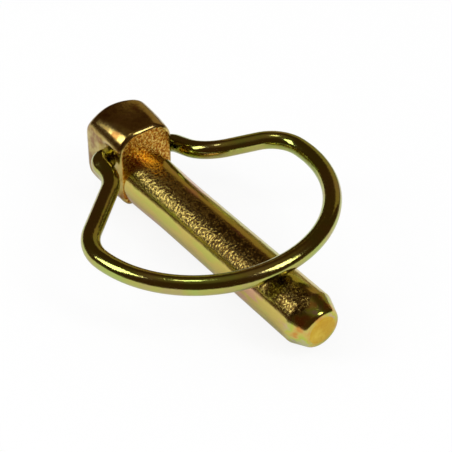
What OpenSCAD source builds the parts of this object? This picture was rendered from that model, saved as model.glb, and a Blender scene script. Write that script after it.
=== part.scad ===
// Linch pin with a captive snap ring.
// The pin lies along +X with its ring closed on top, +Z is up. The origin
// is on the shank's axis, in the plane of the head's shoulder.

/* [Pin] */
// Diameter of the shank
shank_d = 11; // [9:0.5:12]
// Length of the shank from the shoulder to the flat end
shank_len = 55; // [52:0.5:65]
// Diameter of the flat end
tip_d = 7.8; // [5:0.2:8]
// Length of the cone that leads the end into a hole
tip_len = 3.9; // [2:0.1:6]
// Radius of the fillet where the shank leaves the shoulder
root_r = 0.4; // [0.2:0.1:0.5]

/* [Head] */
// Width of the head at its widest, half way along
head_w = 13.3; // [13.2:0.1:13.8]
// Length of the head along the pin
head_len = 13.8; // [13:0.1:14.2]
// Height of the head's top above the shank's axis, half way along
head_top = 12.7; // [12.2:0.1:13]
// Depth of the flat under the head below the shank's axis
head_foot = 6.1; // [5.8:0.1:6.2]
// Radius of the two long top corners
crown_r = 3.7; // [3:0.1:4.4]
// Radius at which the flanks belly out lengthwise
belly_r = 70; // [50:1:90]
// Radius of the crowned top, both ways
roof_r = 54; // [45:1:70]
// Radius of the back's edges
back_r = 3.1; // [2.6:0.1:3.8]
// Radius of the ease under the shoulder
rim_r = 4; // [3.4:0.1:6]
// Distance behind the shoulder at which that ease starts
rim_run = 2.1; // [1:0.1:2.4]
// Radius of the ball that takes off the corners of the back
dome_r = 11.3; // [11.2:0.1:12]
// Distance of that ball's centre behind the shoulder
dome_back = 4.1; // [3.6:0.1:4.4]
// Height of that ball's centre above the shank's axis
dome_z = 3.6; // [3.2:0.1:4]

/* [Ring hole] */
// Distance of the hole behind the shoulder
hole_back = 4.2; // [3.8:0.1:5]
// Height of the hole above the shank's axis, at mid width
hole_z = 4.7; // [4.4:0.1:5.2]
// Slant of the hole across the head, in degrees
hole_slant = 10; // [4:0.5:11]
// Clearance between the wire and the hole, on the radius
hole_play = 0.08; // [0.05:0.01:0.09]
// Diameter of the countersink at each end of the hole
mouth_d = 5.6; // [4.6:0.1:5.8]

/* [Snap ring] */
// Diameter of the spring wire
wire_d = 3.7; // [3:0.1:3.8]
// Radius of the bow to the middle of the wire
bow_r = 24.8; // [23:0.1:26]
// Distance from the hole to the centre of the bow
bow_x = 23.3; // [22:0.1:25]
// Gap between the closed bow and the shank
bow_gap = 0.6; // [0.2:0.05:0.9]
// Height of the ring's plane over the shank's axis, at the hole
plane_z = 5.95; // [5.7:0.05:6.4]
// Sideways lean of the ring's plane, in degrees
plane_lean = 2.6; // [0:0.1:4]
// Radius of the bend where the wire leaves the hole
eye_r = 2.5; // [2.2:0.1:2.8]
// Length of wire held in the head at each end
eye_len = 4.2; // [3:0.1:4.6]

/* [Right leg] */
// Distance of the right neck from the pin's middle
right_neck = 9.4; // [9.2:0.1:10]
// Distance from the hole to the right leg's outward bend
right_bend_x = 6.7; // [6.4:0.1:8]
// Radius of the right leg's outward bend
right_bend_r = 8.4; // [6:0.1:8.6]
// Angle of the right leg to the pin, in degrees
right_angle = 48; // [44:0.5:52]
// Radius of the corner between the right leg and the bow
right_corner_r = 9.5; // [8:0.1:11]

/* [Left leg] */
// Distance of the left neck from the pin's middle
left_neck = 8.9; // [8.9:0.1:9.2]
// Distance from the hole to the left leg's outward bend
left_bend_x = 11.3; // [10.6:0.1:12]
// Radius of the left leg's outward bend
left_bend_r = 7.7; // [6:0.1:8]
// Angle of the left leg to the pin, in degrees
left_angle = 69; // [64:0.5:70]
// Radius of the corner between the left leg and the bow
left_corner_r = 7.8; // [6:0.1:9]

/* [Hidden] */

plating = "goldenrod";
spring_wire = "darkkhaki";

over = 1;         // how far cutters run past a face
swell = 0.005;    // extra radius of the wire's straights
lap = 0.08;       // how far a straight laps over a bend
gap = 0.03;       // how far a bend stops short inside a straight
skin = 0.02;      // depth by which a bellied side lies under the flat blank
shank_r = shank_d / 2;
wire_r = wire_d / 2;
head_r = head_w / 2;                       // round underside, about the shank's axis
head_x = -head_len;                        // back of the head
cone_x = shank_len - tip_len;              // where the lead-in cone starts

// The hole's axis leans in the plane across the pin.
hole_at = [-hole_back, 0, hole_z];
hole_dir = [0, cos(hole_slant), -sin(hole_slant)];
hole_r = wire_r + hole_play;
function on_hole(y) = hole_at + hole_dir * (y / hole_dir.y);

// The ring lies in a plane: x runs along the pin, y across it.
bow_top = shank_r + bow_gap + wire_r;      // middle of the wire over the shank
plane_rise = atan((bow_top - plane_z) / (bow_x + bow_r));
plane_o = [-hole_back, 0, plane_z];
plane_x = [cos(plane_rise), 0, sin(plane_rise)];
plane_y = [-sin(plane_rise) * sin(plane_lean), cos(plane_lean),
           cos(plane_rise) * sin(plane_lean)];
function on_plane(p) = plane_o + p.x * plane_x + p.y * plane_y;

// ---------------------------------------------------------------- wire bends

function unit(v) = v / norm(v);
// Angle through which the wire turns at b on its way from a to c.
function turn(a, b, c) = acos(unit(b - a) * unit(c - b));
// How much of each straight side a bend of radius r uses up at b.
function setback(a, b, c, r) = r * tan(turn(a, b, c) / 2);

// A straight length of wire from p to q. It is a hair thicker than the bends.
module straight(p, q) {
    d = q - p;
    translate(p)
        rotate([0, acos(d.z / norm(d)), atan2(d.y, d.x)])
            cylinder(r = wire_r + swell, h = norm(d), $fn = 28);
}

// The bend of radius r at b, on the way from a to c, short by the gap at
// each end.
module bend(a, b, c, r) {
    go = unit(b - a);
    axis = unit(cross(go, c - b));
    out = cross(go, axis);
    centre = b - go * setback(a, b, c, r) - out * r;
    short = gap / r * 180 / PI;
    multmatrix([[out.x, go.x, axis.x, centre.x],
                [out.y, go.y, axis.y, centre.y],
                [out.z, go.z, axis.z, centre.z],
                [0, 0, 0, 1]])
        rotate([0, 0, short])
            rotate_extrude(angle = turn(a, b, c) - 2 * short, $fn = 52)
                translate([r, 0]) circle(r = wire_r, $fn = 28);
}

// A wire through the points p, bent to the radius r[i] at point i. Every
// straight laps over the bends at its ends, and one of no length is a band
// that joins two bends.
module bent_wire(p, r) {
    n = len(p);
    // how much of each side the bend at point i uses up
    cut = [for (i = [0:n - 1])
        i == 0 || i == n - 1
            ? 0
            : setback(p[i - 1], p[i], p[i + 1], r[i]) - lap];
    for (i = [1:n - 2]) bend(p[i - 1], p[i], p[i + 1], r[i]);
    for (i = [0:n - 2]) {
        d = unit(p[i + 1] - p[i]);
        straight(p[i] + d * cut[i], p[i + 1] - d * cut[i + 1]);
    }
}

// -------------------------------------------------------------- ring's course

// One half of the ring, from its end in the head to the bow's far point.
// side is -1 for the right leg and 1 for the left leg. In the plane, the
// leg runs at an angle from its outward bend until an arc of corner_r
// touches both the leg and the inside of the bow's circle.
function leg_dir(angle) = [cos(angle), sin(angle)];
function corner_centre(bend_at, angle, corner_r) =
    let (e = leg_dir(angle),
         foot = bend_at + [e.y, -e.x] * corner_r - [bow_x, 0],
         along = foot * e,
         room = bow_r - corner_r,
         run = -along + sqrt(along * along - foot * foot + room * room))
    bend_at + e * run + [e.y, -e.x] * corner_r;
// Outward direction at which the corner meets the bow, seen from its centre.
function meet_dir(bend_at, angle, corner_r) =
    unit(corner_centre(bend_at, angle, corner_r) - [bow_x, 0]);
// Where the leg's line crosses the line square to q at distance bow_r.
function corner_at(bend_at, angle, q) =
    let (e = leg_dir(angle))
    bend_at + e * ((bow_r - (bend_at - [bow_x, 0]) * q) / (e * q));
// Where that same line crosses the line across the bow's far point.
function bow_corner(q) = [bow_x, 0]
    + bow_r * [1, tan(atan2(q.y, q.x) / 2)];

// The points of one leg in the ring's plane, from its outward bend to the bow.
// side is -1 for the right leg and 1 for the left leg.
function leg_points(side, neck, bend_x, angle, corner_r) =
    let (bend_at = [bend_x, neck],
         q = meet_dir(bend_at, angle, corner_r))
    [for (p = [bend_at, corner_at(bend_at, angle, q), bow_corner(q)])
        on_plane([p.x, side * p.y])];

// The end of the wire in the head, and the bend where it leaves the hole.
function eye_points(side, neck) =
    [on_hole(side * (neck - eye_r - eye_len)), on_hole(side * neck)];

function reversed(v) = [for (i = [len(v) - 1:-1:0]) v[i]];

ring_points = concat(
    eye_points(-1, right_neck),
    leg_points(-1, right_neck, right_bend_x, right_angle, right_corner_r),
    reversed(leg_points(1, left_neck, left_bend_x, left_angle, left_corner_r)),
    reversed(eye_points(1, left_neck)));
ring_radii = [0, eye_r, right_bend_r, right_corner_r, bow_r,
              bow_r, left_corner_r, left_bend_r, eye_r, 0];

module snap_ring() {
    color(spring_wire) bent_wire(ring_points, ring_radii);
}

// ------------------------------------------------------------------ the pin

// The head's section across the pin: round below, about the shank's axis,
// with a flat to stand on and two rounded top corners.
module head_section() {
    flank = head_r - crown_r;
    intersection() {
        union() {
            circle(r = head_r, $fn = 72);
            translate([-head_r, 0]) square([2 * head_r, head_top - crown_r]);
            translate([-flank, 0]) square([2 * flank, head_top]);
            for (side = [-1, 1])
                translate([side * flank, head_top - crown_r])
                    circle(r = crown_r, $fn = 64);
        }
        translate([-head_w, -head_foot]) square([2 * head_w, 2 * head_w]);
    }
}

// The blank's outline seen from the side or from above, y0 to y1 wide,
// with rounded edges at the back.
module blank_outline(y0, y1) {
    union() {
        translate([head_x + back_r, y0])
            square([head_len - back_r, y1 - y0]);
        translate([head_x, y0 + back_r])
            square([head_len, y1 - y0 - 2 * back_r]);
        for (y = [y0 + back_r, y1 - back_r])
            translate([head_x + back_r, y]) circle(r = back_r, $fn = 64);
    }
}

// The blank from the side, with the lower front edge eased too.
module side_outline() {
    difference() {
        blank_outline(-head_foot, head_top);
        translate([-rim_run, rim_r - head_foot])
            difference() {
                translate([0, -rim_r - over])
                    square([rim_run + over, rim_r + over]);
                circle(r = rim_r, $fn = 96);
            }
    }
}

// An upright drum that gives one flank its belly.
module belly() {
    cylinder(r = belly_r, h = 4 * head_w, center = true, $fn = 360);
}

module head() {
    middle = head_x / 2;
    intersection() {
        // across the pin
        rotate([90, 0, 90])
            translate([0, 0, head_x])
                linear_extrude(head_len) head_section();
        // side view
        rotate([90, 0, 0])
            linear_extrude(2 * head_w, center = true)
                side_outline();
        // plan view
        translate([0, 0, -head_w])
            linear_extrude(2 * head_w + head_top)
                blank_outline(-head_r, head_r);
        // crowned top and bellied flanks
        translate([middle, 0, head_top - skin - roof_r])
            rotate([90, 0, 0]) sphere(r = roof_r, $fn = 120);
        translate([middle, head_r - skin - belly_r, 0]) belly();
        translate([middle, belly_r + skin - head_r, 0]) belly();
        // corners of the back
        translate([-dome_back, 0, dome_z])
            rotate([0, 90, 0]) sphere(r = dome_r, $fn = 96);
    }
}

// Shank, root fillet and lead-in cone, turned about the pin's axis.
module shank() {
    rotate([0, 90, 0])
        rotate_extrude($fn = 96)
            difference() {
                polygon([[0, -over], [shank_r + root_r, -over],
                         [shank_r + root_r, root_r], [shank_r, root_r],
                         [shank_r, cone_x], [tip_d / 2, shank_len],
                         [0, shank_len]]);
                translate([shank_r + root_r, root_r])
                    circle(r = root_r, $fn = 48);
            }
}

// Hole for the ring's ends, right through the head, with a countersink at
// each mouth. It is one turned shape that runs past both flanks.
module ring_hole() {
    flank = head_r / cos(hole_slant);
    sink = mouth_d / 2 - hole_r;
    translate(hole_at)
        rotate([-90 - hole_slant, 0, 0])
            rotate_extrude($fn = 64)
                polygon([[0, -flank - over], [mouth_d / 2 + over, -flank - over],
                         [hole_r, sink - flank], [hole_r, flank - sink],
                         [mouth_d / 2 + over, flank + over],
                         [0, flank + over]]);
}

module forged_pin() {
    color(plating)
        difference() {
            union() {
                head();
                shank();
            }
            ring_hole();
        }
}

forged_pin();
snap_ring();
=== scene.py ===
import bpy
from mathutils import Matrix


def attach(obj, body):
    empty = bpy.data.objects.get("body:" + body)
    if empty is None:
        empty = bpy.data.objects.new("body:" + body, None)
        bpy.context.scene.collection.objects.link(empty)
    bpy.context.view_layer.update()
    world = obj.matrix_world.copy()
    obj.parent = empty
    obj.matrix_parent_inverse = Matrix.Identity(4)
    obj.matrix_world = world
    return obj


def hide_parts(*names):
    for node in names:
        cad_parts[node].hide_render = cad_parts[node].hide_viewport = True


bl_info = {
    "name": "Linch Pin",
    "version": (1, 0, 0),
    "blender": (4, 5, 0),
    "location": "View3D > Sidebar > Linch Pin",
    "description": "Builds a forged linch pin with its captive snap ring",
    "category": "Add Mesh",
}

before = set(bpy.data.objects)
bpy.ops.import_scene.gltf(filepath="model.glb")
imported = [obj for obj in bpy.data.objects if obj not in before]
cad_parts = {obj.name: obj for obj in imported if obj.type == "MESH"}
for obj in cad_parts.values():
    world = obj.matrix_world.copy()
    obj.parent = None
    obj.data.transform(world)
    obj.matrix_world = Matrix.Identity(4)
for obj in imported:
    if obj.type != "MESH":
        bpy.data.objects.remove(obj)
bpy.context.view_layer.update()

from functools import partial
from math import acos, atan, atan2, cos, degrees, pi, radians, sin, sqrt, tan
from types import SimpleNamespace

import bmesh
import bpy
import numpy as np
from bpy.props import FloatProperty, FloatVectorProperty, PointerProperty
from bpy.types import Operator, Panel, PropertyGroup
from mathutils import Euler, Matrix, Vector

MM = 0.001
CREASE = radians(40)    # edges that turn more than this are shaded as edges
WELD = 1e-7             # points closer than this, in metres, are one
WHITE = (1.0, 1.0, 1.0)
SMOOTH = {"interpolation_type": "SMOOTHSTEP"}

# how fine the meshes are
BLOCK_CUTS = 100        # cuts along each edge of the head's block
HALVINGS = 40           # steps of the search for the head's skin
BORE_SIDES = 64
SHANK_SIDES = 160
SHANK_ROW = 4           # millimetres between rows along the plain shank
EDGE_POINTS = 7         # points on each rounded edge of the shank
WIRE_SIDES = 48
WIRE_ROW = 1.2          # millimetres between rows along the wire's straights
BEND_ROW = 4.0          # degrees between rows round a tight bend
BOW_ROW = 2.0           # and round the bow
LEAST_RUN = 0.02        # a shorter straight, in millimetres, gets no row
TENT_SIDES = 64
SHADE_RING_SIDES = 96

# limits that lie well clear of the head, in millimetres
FAR = 30.0              # outside it, whichever way one looks
DEEP = -9.0             # inside it
BORE_LENGTH = 40.0


# ------------------------------------------------------------------ settings


def length(name, text, value):
    """A size in millimetres, kept in metres."""
    return FloatProperty(name=name, description=text, default=value * MM,
                         unit="LENGTH", precision=5)


def angle(name, text, value):
    """An angle in degrees, kept in radians."""
    return FloatProperty(name=name, description=text, default=radians(value),
                         subtype="ANGLE")


def linear(hex_value):
    """An sRGB hex colour as linear red, green and blue."""
    parts = [int(hex_value[i:i + 2], 16) / 255 for i in (0, 2, 4)]
    return tuple(c / 12.92 if c <= 0.04045 else ((c + 0.055) / 1.055) ** 2.4
                 for c in parts)


def colour(name, text, hex_value):
    """An sRGB hex colour, kept as linear."""
    return FloatVectorProperty(name=name, description=text, size=3,
                               subtype="COLOR", min=0.0, max=1.0,
                               default=linear(hex_value))


def amount(name, text, value):
    """A plain number."""
    return FloatProperty(name=name, description=text, default=value)


class PinSettings(PropertyGroup):
    shank_radius: length("Shank radius", "Radius of the round shank", 5.5)
    shank_length: length("Shank length", "From the shoulder to the flat end", 55.0)
    root: length("Root", "How far the shank runs on inside the head", 4.0)
    flare: length("Flare", "How much stouter the shank is at the shoulder", 0.28)
    flare_length: length("Flare length", "Length over which the flare fades", 14.0)
    cone_length: length("Cone length", "Length of the lead-in cone", 3.9)
    cone_bend: length("Cone bend", "Radius of the bend from shank to cone", 1.2)
    tip_radius: length("Tip radius", "Radius of the flat end", 3.9)
    tip_bend: length("Tip bend", "Radius of the flat end's edge", 1.1)
    head_length: length("Head length", "Length of the head along the pin", 13.8)
    half: length("Half width", "Half the head's width, before its walls melt together", 6.7)
    top: length("Head top", "Height of the head over the shank's axis", 12.66)
    foot: length("Head foot", "Depth of the flat under the head", 6.1)
    roof: length("Roof", "Radius of the head's crowned top", 60.0)
    belly: length("Belly", "Radius of the head's bellied flanks", 70.0)
    crown: length("Crown", "Radius of the long top corners at the shoulder", 4.5)
    crown_back: length("Crown back", "Radius of those corners at the back", 3.1)
    crown_run: length("Crown run", "Length over which that radius changes", 9.0)
    keel_melt: length("Keel melt", "Melt between the flanks and the round keel", 0.3)
    back: length("Back", "Radius of the back's edges", 2.65)
    dome: length("Dome", "Radius of the ball that rounds the back", 11.9)
    dome_back: length("Dome back", "Distance of that ball behind the shoulder", 3.35)
    dome_height: length("Dome height", "Height of that ball over the axis", 3.45)
    dome_melt: length("Dome melt", "Melt between that ball and the walls", 0.5)
    ease: length("Ease", "Radius of the ease under the shoulder", 3.0)
    ease_run: length("Ease run", "Where the ease starts, behind the shoulder", 2.7)
    ease_melt: length("Ease melt", "Melt between the ease and the keel", 0.4)
    foot_edge: length("Foot edge", "Radius of the edge round the flat foot", 0.8)
    rim: length("Rim", "Radius of the shoulder's rim", 0.85)
    hole_back: length("Hole back", "Distance of the ring's hole behind the shoulder", 4.2)
    hole_height: length("Hole height", "Height of the ring's hole over the axis", 4.7)
    hole_radius: length("Hole radius", "Radius of the ring's hole", 1.93)
    mouth: length("Mouth", "Radius of the hole's countersink", 2.8)
    mouth_edge: length("Mouth edge", "Radius of the edge round each mouth", 0.3)
    slant: angle("Slant", "Slant of the ring's hole", 10)
    strip_turn: angle("Strip turn", "Middle of the pitted strip, from +Y", 117)
    film: colour("Film", "Colour of the chromate film", "C9B560")
    film_green: colour("Green film", "Film where it is thinner", "BFBB5C")
    film_rose: colour("Rose film", "Film where it is thicker", "CCA07C")
    head_film: colour("Head film", "Film on the head's duller skin", "B6A25C")
    head_pale: colour("Head, pale", "Film on the head's high spots", "BFA66E")
    head_brown: colour("Head, brown", "Film in the head's clouds", "8E6834")
    cone_orange: colour("Cone, orange", "Film in patches on the cone", "CC8A3E")
    cone_green: colour("Cone, green", "Film in patches on the cone", "AFC24A")
    cone_grey: colour("Cone, grey", "Film in patches on the cone", "BCAA9C")
    strip_film: colour("Strip film", "Film over the pitted strip", "B8A45C")
    # the strip's dark colour is painted shade in its pits
    strip_pit_shade: colour("Strip, dark", "Film in the strip's pits", "624C22")
    struck: colour("Struck faces", "Film on faces square to the pin", "D4922C")
    struck_dark: colour("Struck, dark", "Film in those faces' grain", "964E1A")
    struck_bright: colour("Struck, bright", "Film on their high spots", "F6D676")
    sheared: colour("Sheared end", "Film on the sheared flat end", "C69A1E")
    sheared_bright: colour("Sheared end, bright", "Film on its high spots", "DCC044")


class RingSettings(PropertyGroup):
    wire_radius: length("Wire radius", "Radius of the spring wire", 1.85)
    bow_radius: length("Bow radius", "Radius of the ring's round part", 24.8)
    bow_reach: length("Bow reach", "From the hinge to the middle of the bow", 23.3)
    gap: length("Gap", "Room between the closed ring and the shank", 0.6)
    plane_height: length("Plane height", "Height of the legs at the hinge", 5.95)
    lean: angle("Lean", "Sideways lean of the ring's plane", 2.6)
    eye_radius: length("Eye radius", "Bend from each end into its leg", 2.5)
    eye_length: length("Eye length", "Straight of each end in the hole", 4.2)
    right_neck: length("Right neck", "From the axis to the leg, -Y side", 9.4)
    right_bend_at: length("Right bend at", "Where that leg turns outwards", 6.7)
    right_bend_radius: length("Right bend radius", "Radius of that turn", 8.4)
    right_angle: angle("Right angle", "How far that leg turns outwards", 48)
    right_corner: length("Right corner", "Bend from that leg into the bow", 9.5)
    left_neck: length("Left neck", "From the axis to the leg, +Y side", 8.9)
    left_bend_at: length("Left bend at", "Where that leg turns outwards", 11.3)
    left_bend_radius: length("Left bend radius", "Radius of that turn", 7.7)
    left_angle: angle("Left angle", "How far that leg turns outwards", 69)
    left_corner: length("Left corner", "Bend from that leg into the bow", 7.8)
    film: colour("Film", "Colour of the chromate film", "AEAB5A")
    film_green: colour("Green film", "Film where it is thinner", "A6B25C")
    film_rose: colour("Rose film", "Film where it is thicker", "B0A268")


class StageSettings(PropertyGroup):
    left_box: amount("Left box", "Radiance of the wide soft box", 4.4)
    front_box: amount("Front box", "Radiance of the narrow soft box", 5.2)
    top_box: amount("Top box", "Radiance of the small box overhead", 4.0)
    lamp_distance: length("Lamp distance", "From the shoulder to each box", 600)
    sky: amount("Sky", "Light from the white tent", 0.74)
    floor: length("Floor", "Half the floor's side", 4000)
    floor_gap: length("Floor gap", "Room between the floor and the foot", 0.02)
    floor_paint: colour("Floor paint", "White of the floor", "F7F7F7")
    plain: amount("Plain", "Share of the floor that is seen as plain white", 0.88)
    tent: length("Tent", "Radius of the dark tent", 1000)
    tent_dark: colour("Tent, dark", "Colour of the tent's cloth", "46301C")
    tent_pale: colour("Tent, pale", "Colour of that cloth overhead", "7A6A4C")
    sheet: length("Sheet", "Radius of the white sheet under the pin", 85)
    sheet_centre: length("Sheet centre", "Centre of the sheet, from the shoulder", 20)
    sheet_white: colour("Sheet white", "Colour of the sheet's edge", "F4F4F4")
    # the ring round the sheet is painted shade on the floor, seen only in reflections
    floor_shade: length("Felt", "From that centre to where the felt is darkest", 160)
    floor_shade_dark: colour("Felt, dark", "Colour of the felt there", "5A4830")
    floor_shade_reach: amount("Felt reach", "Radius of the felt over the sheet's", 11)
    card: length("Card", "Radius of the tan backdrop", 900)
    card_start: angle("Card start", "First edge of the backdrop, from +X", 92)
    card_end: angle("Card end", "Second edge of the backdrop, from +X", 148)
    card_top: angle("Card top", "Top edge of the backdrop, over the horizon", 31)
    card_tan: colour("Card tan", "Colour of the backdrop's paper", "A08A5C")
    hem: length("Hem", "Height of the lower edge of tent and backdrop", -4)


# ------------------------------------------------------------------ small tools


def in_mm(group):
    """A group's lengths as plain millimetres, its angles as they are."""
    return SimpleNamespace(**{
        name: getattr(group, name) / MM if prop.unit == "LENGTH"
        else getattr(group, name)
        for name, prop in group.bl_rna.properties.items()
        if prop.type == "FLOAT"})


def settings():
    scene = bpy.context.scene
    return scene.linch_pin, scene.linch_ring, scene.linch_stage


def add_node(tree, kind, inputs=None, stops=(), **options):
    """Adds a node with its options, its inputs' values or links, and its stops."""
    node = tree.nodes.new(kind)
    for name, value in options.items():
        setattr(node, name, value)
    if stops:
        marks = node.color_ramp.elements
        while len(marks) < len(stops):
            marks.new(0.5)
        for mark, (place, tone) in zip(marks, stops):
            mark.position, mark.color = place, (*tone, 1.0)
    for key, value in (inputs or {}).items():
        end = node.inputs[key] if isinstance(key, int) else next(
            i for i in node.inputs if i.name == key and i.enabled)
        if isinstance(value, bpy.types.Node):
            value = next(o for o in value.outputs if o.enabled)
        if isinstance(value, bpy.types.NodeSocket):
            tree.links.new(value, end)
        elif end.type == "RGBA" and len(value) == 3:
            end.default_value = (*value, 1.0)
        else:
            end.default_value = value
    return node


def per_mm(size):
    """Noise scale, in cells per metre, for a feature of this size in mm."""
    return 1.0 / (size * MM)


def new_material(name):
    material = bpy.data.materials.new(name)
    material.use_nodes = True
    material.node_tree.nodes.clear()
    return material, material.node_tree


def finish_mesh(bm, name, material):
    """Makes the bmesh an object with smooth faces and sharp creases."""
    mesh = bpy.data.meshes.new(name)
    bm.to_mesh(mesh)
    bm.free()
    for polygon in mesh.polygons:
        polygon.use_smooth = True
    mesh.set_sharp_from_angle(angle=CREASE)
    mesh.materials.append(material)
    piece = bpy.data.objects.new(name, mesh)
    bpy.context.collection.objects.link(piece)
    return piece


def turned(profile, sides):
    """A closed shape spun about the X axis from (x, radius) points."""
    bm = bmesh.new()
    row = [bm.verts.new((x, 0.0, r)) for x, r in profile]
    edges = [bm.edges.new(pair) for pair in zip(row, row[1:])]
    bmesh.ops.spin(bm, geom=row + edges, cent=(0, 0, 0), axis=(1, 0, 0),
                   dvec=(0, 0, 0), angle=2 * pi, steps=sides,
                   use_merge=True, use_duplicate=False)
    bmesh.ops.remove_doubles(bm, verts=bm.verts, dist=WELD)
    bmesh.ops.recalc_face_normals(bm, faces=bm.faces)
    return bm


def arc(x, r, radius, start, end):
    """Profile points on an arc about (x, r), angles in degrees from +x."""
    return [(x + radius * cos(radians(a)), r + radius * sin(radians(a)))
            for a in np.linspace(start, end, EDGE_POINTS)]


def carve(target, bm, operation):
    """Cuts or joins target's mesh with a closed bmesh."""
    mesh = bpy.data.meshes.new("cutter")
    bm.to_mesh(mesh)
    bm.free()
    cutter = bpy.data.objects.new("cutter", mesh)
    bpy.context.collection.objects.link(cutter)
    cut = target.modifiers.new("cut", "BOOLEAN")
    cut.object = cutter
    cut.operation = operation
    cut.solver = "EXACT"
    graph = bpy.context.evaluated_depsgraph_get()
    done = bpy.data.meshes.new_from_object(target.evaluated_get(graph))
    target.modifiers.clear()
    target.data = done
    bpy.data.objects.remove(cutter)
    bpy.data.meshes.remove(mesh)


# ------------------------------------------------------------------ forged pin


# The head's skin is where a distance is nought: it is negative in the metal
# and positive outside, in millimetres.


def rounded(a, b, radius):
    """Distance from what two walls enclose, their edge rounded."""
    u, v = np.maximum(a + radius, 0), np.maximum(b + radius, 0)
    return np.maximum(np.minimum(np.maximum(a, b), -radius),
                      np.hypot(u, v) - radius)


def melted(a, b, width):
    """Distance from what two walls enclose that meet flatly, as if melted."""
    near = np.maximum(width - np.abs(a - b), 0) / width
    return np.maximum(a, b) + near * near * width / 4


def sink_distance(p, s):
    """Distance of points p into the countersinks of the slanted hole."""
    axis = np.array([0, cos(s.slant), -sin(s.slant)])
    from_hole = p - np.array([-s.hole_back, 0, s.hole_height])
    along = from_hole @ axis
    away = np.linalg.norm(from_hole - along[:, None] * axis, axis=1)
    return (s.mouth + np.abs(along) - s.half / cos(s.slant) - away) / sqrt(2)


def head_distance(p, s):
    """Distance of points p from the head."""
    x, y, z = p.T
    middle = -s.head_length / 2
    roof = np.sqrt((x - middle) ** 2 + y ** 2
                   + (z - s.top + s.roof) ** 2) - s.roof
    flank = np.hypot(x - middle, np.abs(y) + s.belly - s.half) - s.belly
    keel = np.where(z < 0, np.hypot(y, z), np.abs(y)) - s.half
    crown = s.crown + (s.crown_back - s.crown) * np.clip(-x / s.crown_run, 0, 1)
    head = rounded(roof, melted(flank, keel, s.keel_melt), crown)
    head = rounded(head, -s.head_length - x, s.back)
    dome = np.sqrt((x + s.dome_back) ** 2 + y ** 2
                   + (z - s.dome_height) ** 2) - s.dome
    head = melted(head, dome, s.dome_melt)
    run = np.maximum(x + s.ease_run, 0)
    drop = np.maximum(s.ease - s.foot - z, 0)
    ease = np.where((run > 0) & (drop > 0), np.hypot(run, drop) - s.ease, DEEP)
    head = melted(head, ease, s.ease_melt)
    head = rounded(head, -s.foot - z, s.foot_edge)
    head = rounded(head, x, s.rim)
    return rounded(head, sink_distance(p, s), s.mouth_edge)


def head_mesh(pin):
    """A block of grid faces pulled on to the head's skin."""
    s = in_mm(pin)
    bm = bmesh.new()
    bmesh.ops.create_cube(bm, size=1.0)
    bmesh.ops.subdivide_edges(bm, edges=bm.edges, cuts=BLOCK_CUTS,
                              use_grid_fill=True)
    low = np.array([-s.head_length, -s.half, -s.foot])
    high = np.array([0.0, s.half, s.top])
    centre = np.array([-s.hole_back, 0.0, s.hole_height])
    block = np.array([v.co for v in bm.verts])
    rays = low + (block + 0.5) * (high - low) - centre
    rays /= np.linalg.norm(rays, axis=1)[:, None]
    near, far = np.zeros(len(rays)), np.full(len(rays), FAR)
    for _ in range(HALVINGS):
        half_way = (near + far) / 2
        inside = head_distance(centre + rays * half_way[:, None], s) < 0
        near = np.where(inside, half_way, near)
        far = np.where(inside, far, half_way)
    for vert, place in zip(bm.verts, (centre + rays * near[:, None]) * MM):
        vert.co = place
    bmesh.ops.recalc_face_normals(bm, faces=bm.faces)
    return bm


def bore_mesh(pin):
    """What the slanted hole for the ring's ends takes out of the head."""
    bm = bmesh.new()
    bmesh.ops.create_cone(bm, cap_ends=True, segments=BORE_SIDES,
                          radius1=pin.hole_radius, radius2=pin.hole_radius,
                          depth=BORE_LENGTH * MM)
    bmesh.ops.rotate(bm, verts=bm.verts, cent=(0, 0, 0),
                     matrix=Matrix.Rotation(-pi / 2 - pin.slant, 3, "X"))
    bmesh.ops.translate(bm, verts=bm.verts,
                        vec=(-pin.hole_back, 0, pin.hole_height))
    return bm


def shank_mesh(pin):
    """The shank with its lead-in cone and flat end."""
    r, tip, end = pin.shank_radius, pin.tip_radius, pin.shank_length
    cone = end - pin.cone_length
    slope = degrees(atan2(r - tip, pin.cone_length))
    # a hair stouter at the shoulder, where the dies end, in rows of 1 mm
    flared = round(pin.flare_length / MM)
    profile = [(-pin.root, 0.0), (-pin.root, r)]
    profile += [(x * MM, r + pin.flare * (1 + cos(pi * x / flared)) / 2)
                for x in range(flared)]
    profile += [(x * MM, r) for x in range(flared, int(cone / MM), SHANK_ROW)]
    # the bend into the cone, the edge of the flat end, and a row within it
    bend, edge = pin.cone_bend, pin.tip_bend
    profile += arc(cone - bend * tan(radians(slope) / 2), r - bend, bend,
                   90, 90 - slope)
    profile += arc(end - edge, tip - edge * tan(radians(90 - slope) / 2), edge,
                   90 - slope, 0)
    profile += [(end, tip * 0.4), (end, 0.0)]
    return turned(profile, SHANK_SIDES)


class LINCH_OT_forged_pin(Operator):
    """Add the forged pin: head, shoulder, shank and lead-in cone"""
    bl_idname = "linch.forged_pin"
    bl_label = "Forged Pin"

    def execute(self, context):
        pin, _, _ = settings()
        piece = finish_mesh(head_mesh(pin), "forged_pin_skin", plated_forging(pin))
        carve(piece, bore_mesh(pin), "DIFFERENCE")
        carve(piece, shank_mesh(pin), "UNION")
        piece.data.set_sharp_from_angle(angle=CREASE)
        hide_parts("forged_pin")
        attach(piece, "pin")
        return {"FINISHED"}


# ------------------------------------------------------------------ snap ring


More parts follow.
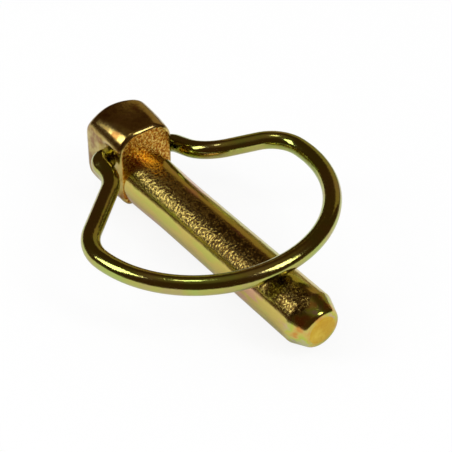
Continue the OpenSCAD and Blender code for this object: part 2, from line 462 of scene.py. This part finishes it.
def ring_route(s, pin):
    """Corner points and bend radii of the wire, in millimetres."""
    bow_top = pin.shank_radius + s.gap + s.wire_radius
    rise = atan((bow_top - s.plane_height) / (s.bow_reach + s.bow_radius))
    origin = Vector((-pin.hole_back, 0, s.plane_height))
    along = Vector((cos(rise), 0, sin(rise)))
    across = Vector((-sin(rise) * sin(s.lean), cos(s.lean),
                     cos(rise) * sin(s.lean)))
    middle = Vector((s.bow_reach, 0))

    def leg(side, neck, bend_at, bend_radius, turn, corner):
        heading = Vector((cos(turn), sin(turn)))
        start = Vector((bend_at, neck))
        # the corner's centre lies where its arc touches the leg and the bow
        foot = start + Vector((heading.y, -heading.x)) * corner - middle
        room = s.bow_radius - corner
        reach = -foot.dot(heading)
        run = reach + sqrt(reach ** 2 - foot.dot(foot) + room ** 2)
        touch = (foot + heading * run).normalized()
        to_bow = (s.bow_radius - (start - middle).dot(touch)) / heading.dot(touch)
        far_side = Vector((1, tan(atan2(touch.y, touch.x) / 2)))
        flat = [start, start + heading * to_bow,
                middle + s.bow_radius * far_side]
        points = [origin + p.x * along + side * p.y * across for p in flat]
        eye = [Vector((-pin.hole_back, side * d,
                       pin.hole_height - side * d * tan(pin.slant)))
               for d in (neck - s.eye_radius - s.eye_length, neck)]
        return eye + points, [0, s.eye_radius, bend_radius, corner, s.bow_radius]

    right = leg(-1, s.right_neck, s.right_bend_at, s.right_bend_radius,
                s.right_angle, s.right_corner)
    left = leg(1, s.left_neck, s.left_bend_at, s.left_bend_radius,
               s.left_angle, s.left_corner)
    return right[0] + left[0][::-1], right[1] + left[1][::-1]


def pushed(bm, rim, way):
    """Extrudes the wire's open rim straight on, and gives its new rim."""
    steps = max(1, int(way.length / WIRE_ROW))
    for _ in range(steps):
        made = bmesh.ops.extrude_edge_only(bm, edges=rim)["geom"]
        verts = [g for g in made if isinstance(g, bmesh.types.BMVert)]
        rim = [g for g in made if isinstance(g, bmesh.types.BMEdge)
               and all(v in verts for v in g.verts)]
        bmesh.ops.translate(bm, verts=verts, vec=way / steps * MM)
    return rim


def wire_mesh(points, radii, wire_radius):
    """A wire through corner points with a bend at each, in millimetres."""
    bm = bmesh.new()
    facing = (points[1] - points[0]).normalized().to_track_quat("Z", "Y")
    disc = bmesh.ops.create_circle(bm, cap_ends=False, segments=WIRE_SIDES,
                                   radius=wire_radius * MM)["verts"]
    bmesh.ops.rotate(bm, verts=disc, cent=(0, 0, 0), matrix=facing.to_matrix())
    bmesh.ops.translate(bm, verts=disc, vec=points[0] * MM)
    first = rim = bm.edges[:]
    place = points[0]
    for before, corner, after, radius in zip(points, points[1:], points[2:],
                                             radii[1:]):
        go, leave = (corner - before).normalized(), (after - corner).normalized()
        bend = acos(max(-1, min(1, go.dot(leave))))
        cut = radius * tan(bend / 2)
        start = corner - go * cut
        if (start - place).length > LEAST_RUN:
            rim = pushed(bm, rim, start - place)
        axis = go.cross(leave).normalized()
        centre = start + axis.cross(go) * radius
        row = BOW_ROW if radius == max(radii) else BEND_ROW
        made = bmesh.ops.spin(bm, geom=rim, cent=centre * MM, axis=axis,
                              dvec=(0, 0, 0), angle=bend,
                              steps=max(4, int(degrees(bend) / row)),
                              use_merge=False, use_duplicate=False)["geom_last"]
        rim = [g for g in made if isinstance(g, bmesh.types.BMEdge)]
        place = corner + leave * cut
    rim = pushed(bm, rim, points[-1] - place)
    for end in (first, rim):
        bmesh.ops.edgeloop_fill(bm, edges=end)
    bmesh.ops.remove_doubles(bm, verts=bm.verts, dist=WELD)
    bmesh.ops.recalc_face_normals(bm, faces=bm.faces)
    return bm


class LINCH_OT_snap_ring(Operator):
    """Add the snap ring: one spring wire, extruded and spun bend by bend"""
    bl_idname = "linch.snap_ring"
    bl_label = "Snap Ring"

    def execute(self, context):
        pin, ring, _ = settings()
        s = in_mm(ring)
        bm = wire_mesh(*ring_route(s, in_mm(pin)), s.wire_radius)
        piece = finish_mesh(bm, "snap_ring_wire", plated_wire(ring))
        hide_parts("snap_ring")
        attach(piece, "ring")
        return {"FINISHED"}


# ------------------------------------------------------------------ finishes


def plate(tree, film, roughness, bumps):
    """Closes a plated finish, its bumps laid over each other.

    Each bump is (height, strength, depth in millimetres)."""
    normal = None
    for height, strength, depth in bumps:
        under = {"Normal": normal} if normal else {}
        normal = add_node(tree, "ShaderNodeBump",
                          {"Height": height, "Strength": strength,
                           "Distance": depth * MM, **under})
    skin = add_node(tree, "ShaderNodeBsdfPrincipled",
                    {"Base Color": film, "Roughness": roughness,
                     "Normal": normal, "Metallic": 1.0})
    add_node(tree, "ShaderNodeOutputMaterial", {"Surface": skin})


def shank_film(node, place, pin):
    """Film that drifts along the shank, in blobs and in streaks."""
    blobs = node("ShaderNodeTexNoise", {
        "Vector": node("ShaderNodeMapping", {"Vector": place, "Scale": (0.45, 1, 1)}),
        "Scale": per_mm(5.0), "Detail": 4.0, "Roughness": 0.6})
    streaks = node("ShaderNodeTexNoise", {
        "Vector": node("ShaderNodeMapping", {"Vector": place, "Scale": (0.08, 1, 1)}),
        "Scale": per_mm(1.4), "Detail": 2.0})
    drift = node("ShaderNodeMix", {"Factor": 0.35, "A": blobs, "B": streaks})
    return node("ShaderNodeValToRGB", {"Fac": drift}, stops=(
        (0.40, pin.film_rose), (0.46, pin.film), (0.53, pin.film),
        (0.59, pin.film_green)))


def cone_film(node, place, pin):
    """Film that drifts further, in patches, on the lead-in cone."""
    patches = node("ShaderNodeTexNoise", {"Vector": place, "Scale": per_mm(2.6),
                                          "Detail": 2.0})
    return node("ShaderNodeValToRGB", {"Fac": patches}, stops=(
        (0.36, pin.cone_orange), (0.46, pin.film), (0.55, pin.cone_green),
        (0.66, pin.cone_grey)))


def pitted_share(node, place, along, pin):
    """The ragged strip along the top of the shank that scale left pitted, with shade
    painted in its pits.
    """
    turn, radius = pin.strip_turn, pin.shank_radius
    # 1 along the strip's middle, and less to each side of it
    across = node("ShaderNodeVectorMath", {
        0: place, 1: (0, cos(turn) / radius, sin(turn) / radius)},
        operation="DOT_PRODUCT")
    ragged = node("ShaderNodeTexNoise", {"Vector": place, "Scale": per_mm(1.5),
                                         "Detail": 3.0})
    edge = node("ShaderNodeMath", {0: ragged, 1: 0.12, 2: across.outputs["Value"]},
                operation="MULTIPLY_ADD")
    strip = node("ShaderNodeMapRange", {"Value": edge, "From Min": 0.91,
                                        "From Max": 0.97}, **SMOOTH)
    past_root = node("ShaderNodeMapRange", {
        "Value": along, "From Min": 0.5 * MM, "From Max": 4 * MM}, **SMOOTH)
    return node("ShaderNodeMath", {0: strip, 1: past_root}, operation="MULTIPLY")


def pitted_film_and_shade(node, place, along, pin):
    """Film over the pits, with painted shade in them, and darker nearer the cone.

    Real specks are finer, and these are as coarse as they need to show."""
    # dark specks: painted shade in the pits
    specks = node("ShaderNodeTexNoise", {"Vector": place, "Scale": per_mm(0.4),
                                         "Detail": 2.0})
    darker = node("ShaderNodeMapRange", {
        "Value": along, "From Min": 12 * MM, "From Max": 34 * MM,
        "To Min": 0.0, "To Max": -0.12}, **SMOOTH)
    specks = node("ShaderNodeMath", {0: specks, 1: darker}, operation="ADD")
    return node("ShaderNodeValToRGB", {"Fac": specks}, stops=(
        (0.38, pin.strip_pit_shade), (0.5, pin.strip_film)))


def rim_share(node, place, at_end, pin):
    """All of a struck face, but less of the sheared end's burnished rim."""
    off_axis = node("ShaderNodeVectorMath", {
        0: node("ShaderNodeMapping", {"Vector": place, "Scale": (0, 1, 1)})},
        operation="LENGTH")
    rim = node("ShaderNodeMapRange", {
        "Value": off_axis.outputs["Value"], "From Min": pin.tip_radius - 1.1 * MM,
        "From Max": pin.tip_radius - 0.8 * MM, "To Min": 1.0, "To Max": 0.3},
        **SMOOTH)
    return node("ShaderNodeMix", {"Factor": at_end, "A": 1.0, "B": rim})


def plated_forging(pin):
    """Drop-forged steel, zinc plated and dipped in a yellow chromate bath.

    The zinc is glossy on the shank and duller on the head, and the film over
    it drifts from gold to olive and rose. It is deep gold where the steel was
    cut or struck square, and scale left the top of the shank pitted, its pits painted with
    shade."""
    material, tree = new_material("yellow_chromate_forging")
    node = partial(add_node, tree)
    coords = node("ShaderNodeTexCoord")
    place, facing = coords.outputs["Object"], coords.outputs["Normal"]
    along = node("ShaderNodeSeparateXYZ", {"Vector": place}).outputs["X"]
    clouds = node("ShaderNodeTexNoise", {"Vector": place, "Scale": per_mm(3.5),
                                         "Detail": 5.0, "Roughness": 0.65})
    # real grain is finer, and this is as coarse as it needs to show
    grain = node("ShaderNodeTexNoise", {"Vector": place, "Scale": per_mm(0.6),
                                        "Detail": 5.0, "Roughness": 0.65})
    # the parts of the pin: head, cone, flat end, faces square to it, strip
    on_head = node("ShaderNodeMapRange", {
        "Value": along, "From Min": -0.5 * MM, "From Max": 0.5 * MM,
        "To Min": 1.0, "To Max": 0.0}, **SMOOTH)
    on_cone = node("ShaderNodeMapRange", {
        "Value": along, "From Min": pin.shank_length - 5 * MM,
        "From Max": pin.shank_length - 2.5 * MM, "To Max": 0.85}, **SMOOTH)
    at_end = node("ShaderNodeMapRange", {
        "Value": along, "From Min": pin.shank_length - 1 * MM,
        "From Max": pin.shank_length}, **SMOOTH)
    square = node("ShaderNodeVectorMath", {0: facing, 1: (1, 0, 0)},
                  operation="DOT_PRODUCT")
    squareness = node("ShaderNodeMapRange", {
        "Value": square.outputs["Value"], "From Min": 0.88, "From Max": 0.98},
        **SMOOTH)
    strip = pitted_share(node, place, along, pin)
    # their films, each laid over the ones before it; the strip's has painted shade in its
    # pits
    head_film = node("ShaderNodeValToRGB", {"Fac": clouds}, stops=(
        (0.38, pin.head_brown), (0.52, pin.head_film), (0.66, pin.head_pale)))
    # the struck faces are darker in the hollows of the grain that bumps them, and paler on
    # its high spots
    struck = node("ShaderNodeValToRGB", {"Fac": grain}, stops=(
        (0.40, pin.struck_dark), (0.5, pin.struck), (0.6, pin.struck_bright)))
    sheared = node("ShaderNodeValToRGB", {"Fac": clouds}, stops=(
        (0.40, pin.sheared), (0.72, pin.sheared_bright)))
    struck = node("ShaderNodeMix", {"Factor": at_end, "A": struck, "B": sheared},
                  data_type="RGBA")
    struck_share = node("ShaderNodeMath", {
        0: squareness, 1: rim_share(node, place, at_end, pin)},
        operation="MULTIPLY")
    film = shank_film(node, place, pin)
    for share, layer in ((on_head, head_film),
                         (on_cone, cone_film(node, place, pin)),
                         (strip, pitted_film_and_shade(node, place, along, pin)),
                         (struck_share, struck)):
        film = node("ShaderNodeMix", {"Factor": share, "A": film, "B": layer},
                    data_type="RGBA")
    # duller on the head, and more so in the strip and on struck faces
    on_skin = node("ShaderNodeMath", {0: on_head, 1: 0.3}, operation="MULTIPLY")
    dull = node("ShaderNodeMath", {0: strip, 1: squareness}, operation="MAXIMUM")
    dull = node("ShaderNodeMath", {0: dull, 1: on_skin}, operation="MAXIMUM")
    rough = node("ShaderNodeMapRange", {"Value": dull, "To Min": 0.16,
                                        "To Max": 0.27})
    # relief: shallow dents, the strip's pits, the grain of the struck shoulder;
    # real pits are finer too
    dents = node("ShaderNodeTexNoise", {
        "Vector": node("ShaderNodeMapping", {"Vector": place, "Scale": (0.6, 1, 1)}),
        "Scale": per_mm(2.2), "Detail": 2.0})
    pits = node("ShaderNodeTexNoise", {"Vector": place, "Scale": per_mm(0.6),
                                       "Detail": 2.0, "Roughness": 0.6})
    grained = node("ShaderNodeMath", {0: squareness, 1: at_end},
                   operation="SUBTRACT", use_clamp=True)
    grained = node("ShaderNodeMapRange", {"Value": grained, "To Min": 0.12,
                                          "To Max": 0.8})
    plate(tree, film, rough, ((dents, 0.5, 0.10), (pits, strip, 0.12),
                              (grain, grained, 0.13)))
    return material


def plated_wire(ring):
    """Drawn spring wire, bent, zinc plated and dipped in a yellow chromate.

    Drawing leaves it glossy with faint waves, and the film drifts from
    green to rose along it."""
    material, tree = new_material("yellow_chromate_wire")
    node = partial(add_node, tree)
    place = node("ShaderNodeTexCoord").outputs["Object"]
    drift = node("ShaderNodeTexNoise", {"Vector": place, "Scale": per_mm(6.0),
                                        "Detail": 4.0, "Roughness": 0.6})
    film = node("ShaderNodeValToRGB", {"Fac": drift}, stops=(
        (0.34, ring.film_rose), (0.48, ring.film), (0.6, ring.film_green)))
    # real drawing marks are finer, and these are as coarse as they need to show
    waves = node("ShaderNodeTexNoise", {"Vector": place, "Scale": per_mm(1.8),
                                        "Detail": 2.0})
    specks = node("ShaderNodeTexNoise", {"Vector": place, "Scale": per_mm(0.45),
                                         "Detail": 3.0, "Roughness": 0.7})
    rough = node("ShaderNodeMapRange", {"Value": drift, "From Min": 0.3,
                                        "From Max": 0.7, "To Min": 0.16,
                                        "To Max": 0.1})
    plate(tree, film, rough, ((waves, 0.5, 0.07), (specks, 0.2, 0.05)))
    return material


# ------------------------------------------------------------------ stage


def toward(azimuth, elevation):
    """The direction at these angles, in radians, from +X and the horizon."""
    return Vector((cos(azimuth) * cos(elevation), sin(azimuth) * cos(elevation),
                   sin(elevation)))


def add_flag(bm, name, material):
    """A studio card that shows in reflections and throws no shadow."""
    flag = finish_mesh(bm, name, material)
    for ray in ("camera", "diffuse", "transmission", "volume_scatter", "shadow"):
        setattr(flag, "visible_" + ray, False)


def glow_material(name, tone):
    """Even light for a studio card, in the colour that tone(tree) gives."""
    material, tree = new_material(name)
    glow = add_node(tree, "ShaderNodeEmission", {"Color": tone(tree)})
    add_node(tree, "ShaderNodeOutputMaterial", {"Surface": glow})
    return material


def cut_away(bm, point, normal):
    """Drops what lies behind a plane."""
    bmesh.ops.bisect_plane(bm, geom=bm.verts[:] + bm.edges[:] + bm.faces[:],
                           plane_co=point, plane_no=normal, clear_inner=True)


class LINCH_OT_stage(Operator):
    """Add the floor, the soft boxes, the dark flags, a ring of painted floor shade and the
    camera
    """
    bl_idname = "linch.stage"
    bl_label = "Stage"

    def execute(self, context):
        pin, _, stage = settings()
        self.floor(pin, stage)
        self.tent(stage)
        self.mat(pin, stage)
        self.card(stage)
        self.lamps(stage)
        self.sky(stage)
        self.camera()
        context.scene.view_settings.view_transform = "Standard"
        return {"FINISHED"}

    def floor(self, pin, stage):
        """White floor that keeps the pin's shadow."""
        material, tree = new_material("white_floor")
        paint = add_node(tree, "ShaderNodeBsdfDiffuse",
                         {"Color": stage.floor_paint})
        # the camera sees most of it as plain white, so the shadow stays faint
        plain = add_node(tree, "ShaderNodeEmission", {"Color": WHITE})
        ray = add_node(tree, "ShaderNodeLightPath")
        share = add_node(tree, "ShaderNodeMath",
                         {0: ray.outputs["Is Camera Ray"], 1: stage.plain},
                         operation="MULTIPLY")
        both = add_node(tree, "ShaderNodeMixShader", {0: share, 1: paint, 2: plain})
        add_node(tree, "ShaderNodeOutputMaterial", {"Surface": both})
        bm = bmesh.new()
        bmesh.ops.create_grid(bm, x_segments=1, y_segments=1, size=stage.floor)
        bmesh.ops.translate(bm, verts=bm.verts,
                            vec=(0, 0, -pin.foot - stage.floor_gap))
        finish_mesh(bm, "floor", material)

    def tent(self, stage):
        """Dark cloth over the set, paler overhead, by its height in metres."""
        def cloth(tree):
            place = add_node(tree, "ShaderNodeTexCoord").outputs["Object"]
            split = add_node(tree, "ShaderNodeSeparateXYZ", {"Vector": place})
            return add_node(tree, "ShaderNodeValToRGB", {"Fac": split.outputs["Z"]},
                            stops=((0.80 * stage.tent, stage.tent_dark),
                                   (0.985 * stage.tent, stage.tent_pale)))

        bm = bmesh.new()
        bmesh.ops.create_uvsphere(bm, u_segments=TENT_SIDES,
                                  v_segments=TENT_SIDES, radius=stage.tent)
        cut_away(bm, (0, 0, stage.hem), (0, 0, 1))
        add_flag(bm, "dark_tent", glow_material("dark_cloth", cloth))

    def mat(self, pin, stage):
        """A dark ring round the white sheet that the pin lies on, seen only in
        reflections: painted shade where the floor fades into the tent's shade.

        It darkens with the distance from the sheet's centre, in metres."""
        # its colour is painted shade, white at the sheet's edge and dark further out
        def floor_shade(tree):
            place = add_node(tree, "ShaderNodeTexCoord").outputs["Object"]
            away = add_node(tree, "ShaderNodeVectorMath",
                            {0: place, 1: (stage.sheet_centre, 0, 0)},
                            operation="DISTANCE")
            return add_node(tree, "ShaderNodeValToRGB",
                            {"Fac": away.outputs["Value"]},
                            stops=((stage.sheet, stage.sheet_white),
                                   (stage.floor_shade, stage.floor_shade_dark)))

        bm = bmesh.new()
        bmesh.ops.create_circle(bm, cap_ends=False, segments=SHADE_RING_SIDES,
                                radius=stage.sheet)
        grown = bmesh.ops.extrude_edge_only(bm, edges=bm.edges[:])["geom"]
        bmesh.ops.scale(bm, vec=(stage.floor_shade_reach, stage.floor_shade_reach, 1), verts=[
            g for g in grown if isinstance(g, bmesh.types.BMVert)])
        bmesh.ops.translate(bm, verts=bm.verts,
                            vec=(stage.sheet_centre, 0, -pin.foot))
        add_flag(bm, "painted_floor_shade", glow_material("floor_shade_glow", floor_shade))

    def card(self, stage):
        """Tan backdrop behind the head."""
        bm = bmesh.new()
        bmesh.ops.create_uvsphere(bm, u_segments=TENT_SIDES,
                                  v_segments=TENT_SIDES, radius=stage.card)
        cut_away(bm, (0, 0, 0), toward(stage.card_start + pi / 2, 0))
        cut_away(bm, (0, 0, 0), -toward(stage.card_end + pi / 2, 0))
        cut_away(bm, (0, 0, stage.hem), (0, 0, 1))
        cut_away(bm, (0, 0, stage.card * sin(stage.card_top)), (0, 0, -1))
        add_flag(bm, "tan_card",
                 glow_material("tan_paper", lambda tree: stage.card_tan))

    def lamps(self, stage):
        """Soft boxes that face the shoulder."""
        # azimuth and elevation in degrees, width and height in metres, radiance
        for name, azimuth, elevation, wide, high, radiance in (
                ("left_box", -118, 39, 0.21, 0.32, stage.left_box),
                ("front_box", 29, 44, 0.16, 0.30, stage.front_box),
                ("top_box", -145, 81, 0.09, 0.09, stage.top_box)):
            data = bpy.data.lights.new(name, "AREA")
            data.shape = "RECTANGLE"
            data.size, data.size_y = wide, high
            data.energy = radiance * pi * wide * high
            lamp = bpy.data.objects.new(name, data)
            aim = toward(radians(azimuth), radians(elevation))
            lamp.location = aim * stage.lamp_distance
            lamp.rotation_euler = aim.to_track_quat("Z", "Y").to_euler()
            bpy.context.collection.objects.link(lamp)

    def sky(self, stage):
        """White tent, plain white to the camera and in what shines."""
        world = bpy.data.worlds.new("white_tent")
        world.use_nodes = True
        tree = world.node_tree
        tree.nodes.clear()
        ray = add_node(tree, "ShaderNodeLightPath")
        seen = add_node(tree, "ShaderNodeMath",
                        {0: ray.outputs["Is Camera Ray"],
                         1: ray.outputs["Is Glossy Ray"]}, operation="ADD")
        seen = add_node(tree, "ShaderNodeMath",
                        {0: seen, 1: ray.outputs["Is Transmission Ray"]},
                        operation="ADD", use_clamp=True)
        level = add_node(tree, "ShaderNodeMapRange",
                         {"Value": seen, "To Min": stage.sky, "To Max": 1.0})
        glow = add_node(tree, "ShaderNodeBackground",
                        {"Color": WHITE, "Strength": level})
        add_node(tree, "ShaderNodeOutputWorld", {"Surface": glow})
        bpy.context.scene.world = world

    def camera(self):
        """Three-quarter view from above, over the flat end."""
        data = bpy.data.cameras.new("camera")
        data.sensor_width = 36.0
        data.lens = 102.146
        data.clip_start, data.clip_end = 0.01, 20.0
        eye = bpy.data.objects.new("camera", data)
        place = Vector((173.83, -114.83, 160.37)) * MM
        tilt = Euler([radians(a) for a in (50.26216, -0.75198, 52.69209)])
        eye.matrix_world = Matrix.LocRotScale(place, tilt, None)
        bpy.context.collection.objects.link(eye)
        bpy.context.scene.camera = eye


class LINCH_PT_panel(Panel):
    bl_label = "Linch Pin"
    bl_space_type = "VIEW_3D"
    bl_region_type = "UI"
    bl_category = "Linch Pin"

    def draw(self, context):
        for group in settings():
            for name in group.__annotations__:
                self.layout.prop(group, name)
        for operator in OPERATORS:
            self.layout.operator(operator.bl_idname)


OPERATORS = (LINCH_OT_forged_pin, LINCH_OT_snap_ring, LINCH_OT_stage)
CLASSES = (PinSettings, RingSettings, StageSettings, *OPERATORS, LINCH_PT_panel)


def register():
    for cls in CLASSES:
        bpy.utils.register_class(cls)
    bpy.types.Scene.linch_pin = PointerProperty(type=PinSettings)
    bpy.types.Scene.linch_ring = PointerProperty(type=RingSettings)
    bpy.types.Scene.linch_stage = PointerProperty(type=StageSettings)


def unregister():
    del bpy.types.Scene.linch_stage
    del bpy.types.Scene.linch_ring
    del bpy.types.Scene.linch_pin
    for cls in reversed(CLASSES):
        bpy.utils.unregister_class(cls)


def main():
    register()
    bpy.ops.linch.forged_pin()
    bpy.ops.linch.snap_ring()
    bpy.ops.linch.stage()


if __name__ == "__main__":
    main()
